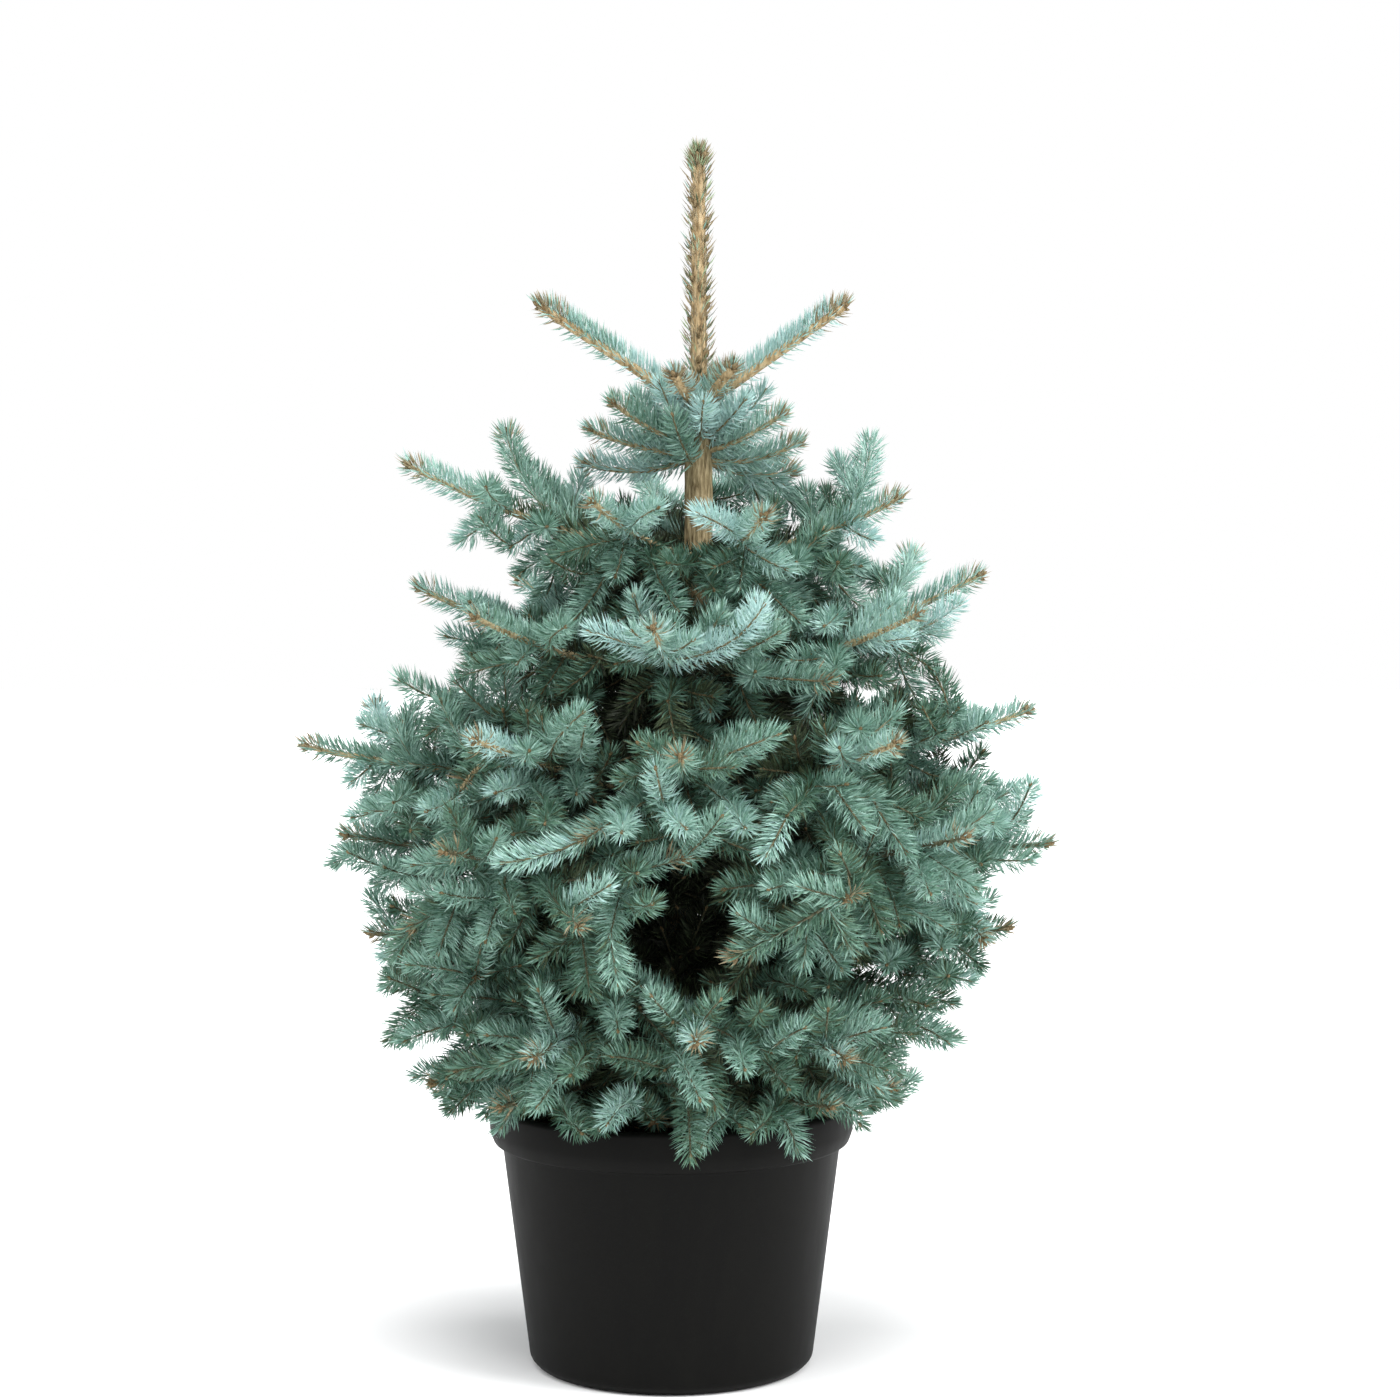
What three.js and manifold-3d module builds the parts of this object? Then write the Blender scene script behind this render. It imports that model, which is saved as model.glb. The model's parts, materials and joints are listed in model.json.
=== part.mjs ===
// A young blue spruce in a round black plastic pot, about 1.08 m tall over all.
//
// Frame: millimetres, +Z up, origin at the centre of the pot's flat underside. -Y is the front.
// Azimuths are in degrees, counterclockwise from +X seen from above: 0 right, 90 back, 180 left, 270 front.
// Heights in the tables of the tree are above the soil, where the trunk has its flat cut.
//
// The crown is built as the tree grows. Whorls of boughs leave the trunk at a few heights, and every bough
// carries one mass of foliage: a closed, uneven solid made of needle-clad shoots, fattened to the reach of
// their needles. Each mass gives way to the trunk, the boughs, the pot and the masses made before it.

import * as THREE from "three";
import { mergeVertices } from "three/addons/utils/BufferGeometryUtils.js";
import Module from "manifold-3d";

const wasm = await Module();
wasm.setup();

// ---- Driving dimensions -------------------------------------------------------------------------

const POT_HEIGHT = 234;
const POT_SIDES = 28;
const RIM_RADIUS = 160; // outside of the rim band, the widest part of the pot
const RIM_BAND = 36; // height of the rim band, its chamfer included
const RIM_CHAMFER = 11;
const WALL_TOP_RADIUS = 149; // outside of the wall just under the rim band
const FOOT_RADIUS = 118; // the flat underside
const FOOT_ROUNDING = 7;
const POT_THICKNESS = 3.5;
const RIM_BEVEL = 3; // of the rim band's top and bottom edges

const SOIL_LEVEL = 212; // height of the soil over the underside
const SOIL_CROWN = 60; // radius of the level soil round the trunk
const SOIL_DIP = 6; // how much lower the soil lies at the pot's wall

const TRUNK_SIDES = 10;
const LEADER_SIDES = 7; // of the needles' sleeve round the leader
const TRUNK_LEAN = 24; // how far the trunk has moved towards +X at LEAN_HEIGHT
const LEAN_HEIGHT = 510;
const TOP_WHORL = 610; // height where the leader and the top shoots part
const LEADER_TIP = 855; // height of the leader's bud
const TRUNK_PROFILE = [
  // [height, radius]
  [0, 25],
  [10, 20.5],
  [32, 17.5],
  [120, 16],
  [300, 14.5],
  [480, 13],
  [TOP_WHORL - 14, 11.5],
  [TOP_WHORL + 14, 7.5],
  [838, 5],
  [LEADER_TIP, 0],
];
const LEADER_SLEEVE = [
  // [height, radius] of the needles round the leader
  [TOP_WHORL + 30, 15],
  [700, 14],
  [785, 13],
  [838, 15],
  [LEADER_TIP + 8, 0],
];

const GAP = 3.6; // clear space between neighbouring solids
const SIMPLIFY = 1.2; // how far a mass may be smoothed after its cuts, well under GAP

// A limb of foliage is thin where it starts, fattest a little past its middle, and ends in a point.
const FOLIAGE_START = 0.08; // share of a limb's length that is bare, where no bough leads in
const FATTEST = 0.62; // share of a plain limb's length where it is fattest
const ROOT_GIRTH = 0.5; // its girth at the start, as a share of the fattest
const UNEVEN = 0.12; // how far the corners of a mass stray, as a share of its girth
const FAN_STATIONS = [
  // [share of the way from the start to the tip, share of the girth] of a fanned mass
  [0, 0.42],
  [0.48, 1],
  [0.8, 0.62],
  [1, 0],
];
const BODY_SIDES = 5; // of the fat middle of a fanned mass
const SHOOT_SIDES = 4;
const SIDE_GIRTH = [0.6, 0.47, 0]; // of a side shoot at its foot, its fattest and its tip, as a share
const SIDE_SHARE = 0.5; // where the side shoots of a limb leave it
const SIDE_LEAN = 0.66; // how far they lean out from it, in radians
const SIDE_REACH = 0.44; // their length, as a share of the limb's reach
const SIDE_LIFT = [0.2, 0.5]; // how far they rise or drop, per unit of their way out
const SIDE_SPREAD = [0.88, 1.1]; // how their lengths vary
const BOUGH_SIDES = 5;
const BOUGH_SHARE = 0.36; // share of its length over which a main bough is bare
const BOUGH_RADII = [7.5, 6.2, 5.4];
const BOUGH_PULL = 0.8; // how far a mass's limbs are drawn together where their bough leads in

// The whorls, from the top down. Each mass has one to four tips, as [azimuth, reach, height], and each tip
// has its own limb from the whorl's height on the trunk. arch is how much of a limb's rise comes in its inner
// half, girth how thick its foliage is above and below it, and fan how much wider it is than thick.
const WHORLS = [
  {
    name: "top",
    height: TOP_WHORL,
    girth: 17,
    arch: 0.5,
    masses: [
      [[357, 134, 722]],
      [[78, 76, 664], [128, 80, 656]],
      [[184, 146, 722]],
      [[250, 70, 660], [305, 60, 668]],
    ],
  },
  {
    name: "collar",
    height: 572,
    girth: 21,
    arch: 0.1,
    masses: [
      [[346, 84, 628], [8, 98, 600], [28, 104, 572], [66, 96, 602]],
      [[202, 88, 638], [187, 104, 612], [168, 112, 580], [126, 96, 604]],
    ],
  },
  {
    name: "upper",
    height: 484,
    girth: 44,
    fan: 1.1,
    arch: 0.05,
    masses: [
      [[14, 164, 606], [351, 184, 553]],
      [[64, 180, 590], [108, 186, 582]],
      [[160, 190, 614], [190, 262, 582]],
      [[238, 176, 552]],
      [[288, 186, 540]],
    ],
  },
  {
    name: "shoulder",
    height: 388,
    girth: 48,
    fan: 1.2,
    arch: 0.05,
    masses: [
      [[0, 258, 486], [30, 236, 502]],
      [[80, 250, 472]],
      [[132, 252, 478]],
      [[179, 250, 475]],
      [[221, 250, 456]],
      [[262, 248, 450], [284, 236, 472]],
      [[322, 246, 458]],
    ],
  },
  {
    name: "wide",
    height: 298,
    girth: 52,
    fan: 1.2,
    arch: 0.05,
    boughs: true,
    masses: [
      [[3, 308, 366], [344, 254, 416]],
      [[47, 306, 362]],
      [[94, 308, 352]],
      [[140, 306, 364]],
      [[181, 344, 335], [198, 270, 411]],
      [[233, 296, 360]],
      [[269, 298, 352]],
      [[306, 298, 358]],
    ],
  },
  {
    name: "low",
    height: 222,
    girth: 50,
    fan: 1.2,
    arch: 0.2,
    masses: [
      [[357, 328, 250], [350, 314, 306]],
      [[42, 308, 244]],
      [[92, 308, 232]],
      [[140, 304, 244]],
      [[184, 303, 259]],
      [[230, 308, 268], [254, 302, 212]],
      [[297, 304, 232], [321, 310, 276]],
    ],
  },
  {
    name: "skirt",
    height: 142,
    girth: 48,
    fan: 1.2,
    arch: 0.6,
    masses: [
      [[0, 300, 174], [338, 258, 108]],
      [[58, 270, 122]],
      [[116, 268, 116]],
      [[176, 280, 168], [203, 262, 104]],
      [[243, 264, 96]],
      [[274, 272, 116]],
      [[304, 262, 92]],
    ],
  },
  {
    name: "hem",
    height: 66,
    girth: 26,
    arch: 1.2,
    masses: [
      [[330, 226, 50], [352, 206, 24]],
      [[26, 218, 30], [50, 222, 46]],
      [[78, 222, 40], [102, 216, 28]],
      [[130, 214, 30], [156, 220, 44]],
      [[180, 212, 24], [202, 230, 50]],
      [[228, 222, 44], [248, 208, 26]],
      [[269, 192, 10]],
      [[290, 208, 26], [309, 220, 44]],
    ],
  },
];

const COLOURS = {
  pot: { color: 0x1c1c1a, roughness: 0.6, metalness: 0 },
  soil: { color: 0x33261b, roughness: 0.95, metalness: 0 },
  bark: { color: 0x7d6a4b, roughness: 0.85, metalness: 0 },
  needles: { color: 0x6f958c, roughness: 0.7, metalness: 0 },
};

// ---- Small helpers ------------------------------------------------------------------------------

const radians = THREE.MathUtils.degToRad;
const lerp = THREE.MathUtils.lerp;
const materials = Object.fromEntries(
  Object.entries(COLOURS).map(([name, look]) => [name, new THREE.MeshStandardMaterial(look)]),
);

// The same number from 0 to 1 for the same seed, every time.
function scatter(seed) {
  const x = Math.sin(seed * 127.1 + 11.7) * 43758.5453;
  return x - Math.floor(x);
}

// The trunk's centre at a height over the soil.
function trunkCentre(height) {
  return new THREE.Vector3(TRUNK_LEAN * THREE.MathUtils.smoothstep(height, 0, LEAN_HEIGHT), 0, height);
}

// A geometry of triangles as a solid, with its shared vertices merged.
function solidOf(geometry) {
  geometry.deleteAttribute("normal");
  geometry.deleteAttribute("uv");
  const merged = mergeVertices(geometry, 1e-4);
  return new wasm.Manifold(
    new wasm.Mesh({
      numProp: 3,
      vertProperties: merged.attributes.position.array,
      triVerts: new Uint32Array(merged.index.array),
    }),
  );
}

// A solid as a geometry in the frame of a matrix.
function geometryOf(solid, matrix) {
  const mesh = solid.getMesh();
  const geometry = new THREE.BufferGeometry();
  geometry.setAttribute("position", new THREE.BufferAttribute(new Float32Array(mesh.vertProperties), 3));
  geometry.setIndex(new THREE.BufferAttribute(new Uint32Array(mesh.triVerts), 1));
  geometry.applyMatrix4(matrix.clone().invert());
  geometry.computeVertexNormals();
  return geometry;
}

// A solid as a named mesh that stands at a height on the trunk's line and is turned to an azimuth.
function meshOf(name, solid, material, height = 0, azimuth = 0) {
  const mesh = new THREE.Mesh(undefined, material);
  mesh.name = name;
  mesh.position.copy(trunkCentre(height));
  mesh.rotation.z = radians(azimuth);
  mesh.updateMatrix();
  mesh.geometry = geometryOf(solid, mesh.matrix);
  return mesh;
}

// A closed solid turned about Z from a profile of [radius, height] that closes on itself or on the axis.
function turned(profile, sides) {
  const points = profile.map(([radius, height]) => new THREE.Vector2(radius, height));
  const geometry = new THREE.LatheGeometry([...points, points[0]], sides);
  geometry.rotateX(Math.PI / 2);
  return solidOf(geometry);
}

// A limb: a tube along points with a radius at each. Both ends are flat, unless the last radius is 0, which
// gives a point. uneven is how far its corners stray from the radius, as a share of it, and wide is how
// much wider it is than thick.
function limb(points, radii, sides, seed = 0, uneven = 0, wide = 1) {
  const positions = [];
  const faces = [];
  const pointed = radii.at(-1) === 0;
  const rings = pointed ? points.length - 1 : points.length;
  const tangent = new THREE.Vector3();
  const across = new THREE.Vector3();
  const over = new THREE.Vector3();
  for (let i = 0; i < rings; i++) {
    const before = points[Math.max(i - 1, 0)];
    const after = points[Math.min(i + 1, points.length - 1)];
    tangent.subVectors(after, before).normalize();
    if (i === 0) across.set(-tangent.y, tangent.x, 0);
    if (across.lengthSq() < 0.01) across.set(0, 1, 0);
    across.addScaledVector(tangent, -across.dot(tangent)).normalize();
    over.crossVectors(tangent, across);
    for (let k = 0; k < sides; k++) {
      const angle = ((k + (i % 2) / 2) * 2 * Math.PI) / sides;
      const stray = 1 + uneven * (2 * scatter(seed + 7 * i + k) - 1);
      const corner = points[i].clone();
      corner.addScaledVector(across, Math.cos(angle) * radii[i] * stray * wide);
      corner.addScaledVector(over, Math.sin(angle) * radii[i] * stray);
      positions.push(...corner);
    }
  }
  for (let i = 0; i + 1 < rings; i++) {
    // Every second ring is turned by half a side, so the triangles between two rings zigzag.
    const shift = i % 2;
    for (let k = 0; k < sides; k++) {
      const a = i * sides + k;
      const b = i * sides + ((k + 1) % sides);
      const c = (i + 1) * sides + ((k + shift) % sides);
      const d = (i + 1) * sides + ((k + shift + sides - 1) % sides);
      faces.push(a, b, c, a, c, d);
    }
  }
  for (let k = 1; k + 1 < sides; k++) faces.push(0, k + 1, k);
  const last = (rings - 1) * sides;
  if (pointed) {
    const apex = positions.length / 3;
    positions.push(...points.at(-1));
    for (let k = 0; k < sides; k++) faces.push(last + k, last + ((k + 1) % sides), apex);
  } else {
    for (let k = 1; k + 1 < sides; k++) faces.push(last, last + k, last + k + 1);
  }
  const geometry = new THREE.BufferGeometry();
  geometry.setAttribute("position", new THREE.BufferAttribute(new Float32Array(positions), 3));
  geometry.setIndex(faces);
  return solidOf(geometry);
}

// ---- Pot and soil -------------------------------------------------------------------------------

const bandFoot = POT_HEIGHT - RIM_BAND;

// The pot's outside from the middle of its underside up to the top of the rim, grown by a margin.
function potOutside(grow = 0) {
  return [
    [0, -grow],
    [FOOT_RADIUS, -grow],
    [FOOT_RADIUS + FOOT_ROUNDING + grow, FOOT_ROUNDING],
    [WALL_TOP_RADIUS + grow, bandFoot - grow],
    [RIM_RADIUS - RIM_BEVEL + grow, bandFoot - grow],
    [RIM_RADIUS + grow, bandFoot + RIM_CHAMFER],
    [RIM_RADIUS + grow, POT_HEIGHT - RIM_BEVEL],
    [RIM_RADIUS - RIM_BEVEL + grow, POT_HEIGHT + grow],
  ];
}

// The pot's inside, from the rim's top down to the middle of its floor.
function potInside(grow = 0) {
  return [
    [RIM_RADIUS - RIM_BEVEL - POT_THICKNESS - grow, POT_HEIGHT + grow],
    [WALL_TOP_RADIUS - POT_THICKNESS - grow, bandFoot],
    [FOOT_RADIUS + FOOT_ROUNDING - POT_THICKNESS - grow, POT_THICKNESS + FOOT_ROUNDING],
    [FOOT_RADIUS - grow, POT_THICKNESS + grow],
    [0, POT_THICKNESS + grow],
  ];
}

function pot() {
  return turned([...potOutside(), ...potInside()], POT_SIDES);
}

// The block of soil, with its top level round the trunk and falling a little to the wall.
function soil() {
  const inside = potInside(GAP);
  const [rimCorner, wallTop, ...below] = inside;
  const edgeHeight = SOIL_LEVEL - SOIL_DIP;
  const share = (edgeHeight - wallTop[1]) / (rimCorner[1] - wallTop[1]);
  const edgeRadius = lerp(wallTop[0], rimCorner[0], share);
  const top = [
    [0, SOIL_LEVEL],
    [SOIL_CROWN, SOIL_LEVEL],
    [edgeRadius, edgeHeight],
  ];
  return turned([...top, wallTop, ...below].reverse(), POT_SIDES);
}

// Everything inside the pot's outline, as a tool that keeps the foliage out of it.
function potCutter() {
  const outside = potOutside(GAP);
  return turned([...outside, [0, outside.at(-1)[1]]], POT_SIDES).translate([0, 0, -SOIL_LEVEL]);
}

// ---- Trunk, boughs and masses of foliage, in the plant's frame -------------------------------------

function trunk(grow = 0) {
  const foot = GAP - grow;
  const points = TRUNK_PROFILE.map(([height], i) => trunkCentre(i ? height : foot));
  points.at(-1).z += grow;
  const radii = TRUNK_PROFILE.map(([, radius]) => (radius ? radius + grow : 0));
  return limb(points, radii, TRUNK_SIDES);
}

function leaderSleeve(grow = 0) {
  const points = LEADER_SLEEVE.map(([height], i) => trunkCentre(i ? height : height - grow));
  points.at(-1).z += grow;
  const radii = LEADER_SLEEVE.map(([, radius]) => (radius ? radius + grow : 0));
  return limb(points, radii, LEADER_SIDES, 3, 0.1);
}

// The line of one limb from the trunk's centre to its tip.
function limbLine(whorl, [azimuth, reach, height]) {
  const root = trunkCentre(whorl.height);
  const out = new THREE.Vector3(Math.cos(radians(azimuth)), Math.sin(radians(azimuth)), 0);
  const tip = root.clone().addScaledVector(out, reach).setZ(height);
  const bend = root.clone().addScaledVector(out, reach / 2);
  bend.z = lerp(root.z, height, whorl.arch);
  return new THREE.QuadraticBezierCurve3(root, bend, tip);
}

// The bare inner part of a main bough. Its line is the mean of its tips' lines.
function boughLine(whorl, tips) {
  const lines = tips.map((tip) => limbLine(whorl, tip));
  return (share) => {
    const point = new THREE.Vector3();
    lines.forEach((line) => point.addScaledVector(line.getPoint(share), 1 / lines.length));
    return point;
  };
}

function bough(whorl, tips, grow = 0) {
  const line = boughLine(whorl, tips);
  const points = [0, 0.5, 1].map((share) => line(share * BOUGH_SHARE));
  if (grow) points.at(-1).addScaledVector(line(BOUGH_SHARE).sub(line(BOUGH_SHARE - 0.01)).normalize(), grow);
  return limb(points, BOUGH_RADII.map((radius) => radius + grow), BOUGH_SIDES);
}

// A side shoot that leaves a limb at SIDE_SHARE, leaning out to one side (hand is 1 or -1) and up by lift.
function sideShoot(line, hand, lift, length, girth, seed, grow) {
  const start = line.getPoint(SIDE_SHARE);
  const along = line.getTangent(SIDE_SHARE);
  const side = new THREE.Vector3(-along.y, along.x, 0).normalize();
  const lean = hand * SIDE_LEAN;
  const way = along.multiplyScalar(Math.cos(lean)).addScaledVector(side, Math.sin(lean));
  way.z += lift;
  way.normalize();
  const points = [0, FATTEST, 1].map((at) => start.clone().addScaledVector(way, at * length));
  points.at(-1).addScaledVector(way, grow);
  const radii = SIDE_GIRTH.map((share) => (share ? share * girth + grow : 0));
  return limb(points, radii, SHOOT_SIDES, seed, UNEVEN);
}

// The fat middle of a fanned mass, round one of its limbs.
function fanBody({ girth, fan }, line, from, start, seed, grow) {
  const points = FAN_STATIONS.map(([share]) => line.getPoint(lerp(from, 1, share)));
  points[0].copy(start);
  points.at(-1).addScaledVector(line.getTangent(1), grow);
  const radii = FAN_STATIONS.map(([, share]) => (share ? share * girth + grow : 0));
  return limb(points, radii, BODY_SIDES, seed, UNEVEN, fan);
}

// A plain limb of foliage, of a mass that isn't fanned.
function plainLimb({ girth }, line, start, seed, grow) {
  const points = [start, line.getPoint(FATTEST), line.getPoint(1)];
  points.at(-1).addScaledVector(line.getTangent(1), grow);
  return limb(points, [ROOT_GIRTH * girth + grow, girth + grow, 0], SHOOT_SIDES, seed, UNEVEN);
}

// One mass of foliage: the needle-clad shoots of its limbs, joined. Side shoots fill the space between the
// whorls: on every limb one rises and the other drops. Two limbs that share a mass leave room for a side
// shoot only on their outer sides.
function foliage(whorl, tips, seed, grow = 0) {
  const { girth, fan, boughs } = whorl;
  const from = boughs ? BOUGH_SHARE : FOLIAGE_START;
  const shoots = [];
  tips.forEach((tip, t) => {
    const line = limbLine(whorl, tip);
    const start = line.getPoint(from);
    if (boughs) start.lerp(boughLine(whorl, tips)(BOUGH_SHARE), BOUGH_PULL);
    start.addScaledVector(line.getTangent(from), boughs ? GAP - grow : -grow);
    if (!fan) {
      shoots.push(plainLimb(whorl, line, start, seed + 31 * t, grow));
      return;
    }
    shoots.push(fanBody(whorl, line, from, start, seed + 31 * t, grow));
    const rises = scatter(seed + 3) < 0.5;
    const hands = tips.length > 1 ? [t ? 1 : -1] : [-1, 1];
    hands.forEach((hand) => {
      const mark = seed + 57 * t + 5 * hand;
      const lift = (rises === hand > 0 ? 1 : -1) * lerp(...SIDE_LIFT, scatter(mark + 2));
      const length = tip[1] * SIDE_REACH * lerp(...SIDE_SPREAD, scatter(mark + 3));
      shoots.push(sideShoot(line, hand, lift, length, girth, mark, grow));
    });
  });
  return wasm.Manifold.union(shoots);
}

// The largest body of a solid: what is left of a mass once small scraps are dropped.
function largest(solid) {
  const bodies = solid.decompose();
  return bodies.reduce((best, body) => (body.volume() > best.volume() ? body : best));
}

function boxesMeet(a, b) {
  const [p, q] = [a.boundingBox(), b.boundingBox()];
  return [0, 1, 2].every((i) => p.min[i] < q.max[i] && q.min[i] < p.max[i]);
}

// ---- Assembly -----------------------------------------------------------------------------------

const plant = new THREE.Group();
plant.name = "plant";
plant.position.z = SOIL_LEVEL;
plant.add(meshOf("trunk", trunk(), materials.bark));

const cutters = [trunk(GAP), potCutter()];

// What is left of a solid beside everything that was made before it.
function cutFree(whole) {
  const near = cutters.filter((cutter) => boxesMeet(cutter, whole));
  return largest(largest(wasm.Manifold.difference([whole, ...near])).simplify(SIMPLIFY));
}

WHORLS.filter((whorl) => whorl.boughs).forEach((whorl) => {
  whorl.masses.forEach((tips, i) => {
    const name = `${whorl.name}_bough_${i + 1}`;
    plant.add(meshOf(name, cutFree(bough(whorl, tips)), materials.bark, whorl.height, tips[0][0]));
    cutters.push(bough(whorl, tips, GAP));
  });
});

plant.add(meshOf("leader_foliage", cutFree(leaderSleeve()), materials.needles, TOP_WHORL));
cutters.push(leaderSleeve(GAP));

WHORLS.forEach((whorl, w) => {
  whorl.masses.forEach((tips, i) => {
    const seed = 100 * w + 10 * i;
    const mass = cutFree(foliage(whorl, tips, seed));
    plant.add(meshOf(`${whorl.name}_foliage_${i + 1}`, mass, materials.needles, whorl.height, tips[0][0]));
    cutters.push(foliage(whorl, tips, seed, GAP));
  });
});

const pottedSpruce = new THREE.Group();
pottedSpruce.name = "potted_blue_spruce";
const potMesh = new THREE.Mesh(geometryOf(pot(), new THREE.Matrix4()), materials.pot);
potMesh.name = "pot";
const soilMesh = new THREE.Mesh(geometryOf(soil(), new THREE.Matrix4()), materials.soil);
soilMesh.name = "soil";
pottedSpruce.add(potMesh, soilMesh, plant);

export default pottedSpruce;
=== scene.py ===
"""The looks of a potted blue spruce, built round its CAD frame. All lengths are in metres.

The frame gives the pot, the compost, the trunk, the main boughs and one solid for every mass of foliage.
Each mass is replaced here by what grows in it: a limb to every tip of the solid, side shoots by a seeded
branching rule that keeps them in the masses and clear of each other, and needles and a bud on every shoot.
"""

import json
import math

import bpy
import numpy as np
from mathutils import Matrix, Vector, noise
from mathutils.bvhtree import BVHTree

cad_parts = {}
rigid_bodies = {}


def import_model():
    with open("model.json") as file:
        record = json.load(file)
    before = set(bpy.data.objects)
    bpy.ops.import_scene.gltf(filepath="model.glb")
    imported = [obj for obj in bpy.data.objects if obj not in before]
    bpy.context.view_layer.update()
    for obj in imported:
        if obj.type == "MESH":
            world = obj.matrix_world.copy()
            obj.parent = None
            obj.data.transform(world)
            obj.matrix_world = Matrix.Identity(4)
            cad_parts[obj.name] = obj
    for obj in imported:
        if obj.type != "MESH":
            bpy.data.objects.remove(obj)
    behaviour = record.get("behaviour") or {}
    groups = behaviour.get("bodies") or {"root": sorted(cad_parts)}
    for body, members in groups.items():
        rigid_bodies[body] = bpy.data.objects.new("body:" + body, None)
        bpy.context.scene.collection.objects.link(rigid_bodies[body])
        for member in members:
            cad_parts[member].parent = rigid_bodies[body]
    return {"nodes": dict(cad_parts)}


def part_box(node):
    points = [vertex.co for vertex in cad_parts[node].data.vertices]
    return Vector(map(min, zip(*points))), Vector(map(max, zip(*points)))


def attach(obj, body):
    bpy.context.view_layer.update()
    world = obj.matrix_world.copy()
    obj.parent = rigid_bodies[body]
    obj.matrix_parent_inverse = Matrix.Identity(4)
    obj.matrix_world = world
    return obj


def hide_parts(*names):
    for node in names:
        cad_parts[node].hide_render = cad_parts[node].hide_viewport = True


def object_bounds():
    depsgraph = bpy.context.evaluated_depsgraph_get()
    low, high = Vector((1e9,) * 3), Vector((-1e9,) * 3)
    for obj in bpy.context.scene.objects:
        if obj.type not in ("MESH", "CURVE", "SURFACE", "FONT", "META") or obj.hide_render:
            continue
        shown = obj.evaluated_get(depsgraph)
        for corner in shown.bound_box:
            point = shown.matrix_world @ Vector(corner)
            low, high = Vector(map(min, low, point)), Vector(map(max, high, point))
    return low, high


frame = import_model()
cad_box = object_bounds()

# ---- Driving values ------------------

SEED = 11
GOLDEN_ANGLE = math.radians(137.5)  # between one needle or shoot and the next round a stem

NEEDLES = 475_000  # over the whole tree, before it thins out those under a stem
PIECE_TRIANGLES = 190_000  # at most, in one joined piece
NEEDLE_LENGTH = 0.0218
NEEDLE_WIDTH = 0.0014
NEEDLE_REACH = 0.010  # how far the needles of a limb's tip stand out past its bud
NEEDLE_OPEN = 64  # degrees between a needle and its stem
CLOSING = 0.013  # length at the end of a shoot where the needles close round the bud
SWEEP = 0.22  # how far the needles turn up round their stem
TOP_SWEEP = 0.75  # the same on the limbs of the leader's whorl, whose needles brush upwards
OLD_DENSITY = 0.72  # of the needles on an older stem, against this year's

STEP = 0.006  # between the points of an axis
LIMB_YOUNG = (0.075, 0.1)  # length of this year's growth at the end of a limb
YOUNG = (0.055, 0.085)  # the same on a side shoot
TERMINAL = (0.056, 0.078)  # bare of side shoots, at the end of a limb
NODE_SPACING = (0.03, 0.042)  # between the pairs of side shoots along a limb
SIDE_ANGLE = math.radians(50)
SHOOT_MAX = 0.115
SHOOT_MIN = 0.030
STEM_CLEARANCE = 0.0185  # between two stems that are neighbours
FILL_REACH = (0.02, 0.12)  # how near to a stem a place has to be to get a shoot from it
FILL_CLEARANCE = 0.0235  # a point of a mass that is further than this from every stem gets a shoot
HEART_CLEARANCE = 0.0215  # the same round the trunk, between the masses
NOTCH_CLEARANCE = 0.0275  # the same between the low whorls, near the outline of the crown
BACK_CLEARANCE = 0.0155  # the same behind the dark hollow
RIM_CLEARANCE = 0.0165  # the same over the pot's rim
HEART = 0.135  # radius round the trunk that is filled with old shoots, painted darkest as the crown's shade
RIM_SPRAYS = 120

HOLLOW_AZIMUTH = math.radians(272)
HOLLOW_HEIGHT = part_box("wide_foliage_7")[0].z - 0.072
HOLLOW_SIZE = (0.044, 0.066)  # half its width and half its height
HOLLOW_DEPTH = 0.1  # from the trunk to its back
HOLLOW_RAGGED = 0.8  # how much its edge wanders, as a share of its half-sizes
HOLLOW_SHADE = 1.6  # in its half-sizes, how far round it the shoots are painted darkest, as shade
HOLLOW_FRINGE = 0.09  # how far in front of its back they are still painted olive, as lighter shade

YOUNG_WHORLS = {"top": 0.8, "collar": 0.45}  # how steeply their limbs rise
SHADED_WHORLS = ("low", "skirt", "hem")  # of darker needles and bark: painted shade, low in the crown under the whorls above
LUSH = {"top": 1.6, "collar": 1.3, "upper": 1.1}  # how much denser than elsewhere the needles are
WHORLS = {
    # name: (how much a shoot bends up, the distance from the trunk at which its needles begin)
    "top": (0.3, 0.008),
    "collar": (0.25, 0.008),
    "upper": (0.22, 0.015),
    "shoulder": (0.18, 0.02),
    "wide": (0.12, 0.03),
    "low": (0.04, 0.03),
    "skirt": (-0.12, 0.03),
    "hem": (-0.55, 0.03),
}
COLLAR_ROWS = [
    # count, first turn, where on the collar's height they start, rise, length, clearance, inside (see grow)
    (90, 0, (0.1, 0.75), 0.55, (0.085, 0.115), 0.018, -0.012),
    (60, 1, (0.1, 0.65), 0.85, (0.055, 0.078), 0.016, -0.06),
]

SOIL_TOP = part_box("soil")[1].z
POT_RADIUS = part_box("pot")[1].x
POT_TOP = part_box("pot")[1].z
LEADER_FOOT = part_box("leader_foliage")[0].z - 0.012

rng = np.random.default_rng(SEED)
UP = np.array([0.0, 0.0, 1.0])


def pick(low_high):
    return rng.uniform(*low_high)


def unit(v):
    return v / (np.linalg.norm(v) + 1e-12)


def rows_unit(v):
    return v / (np.linalg.norm(v, axis=1, keepdims=True) + 1e-12)


def towards(azimuth, rise=0.0):
    """The way out from the trunk at an azimuth, with its rise for each unit out."""
    return np.array([math.cos(azimuth), math.sin(azimuth), rise])


def rows_at(s, marks, rows):
    """Rows that are known at the marks, read off between them at s."""
    return np.stack([np.interp(s, marks, rows[:, k]) for k in range(3)], -1)


# ---- Reading the frame ---------------


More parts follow.
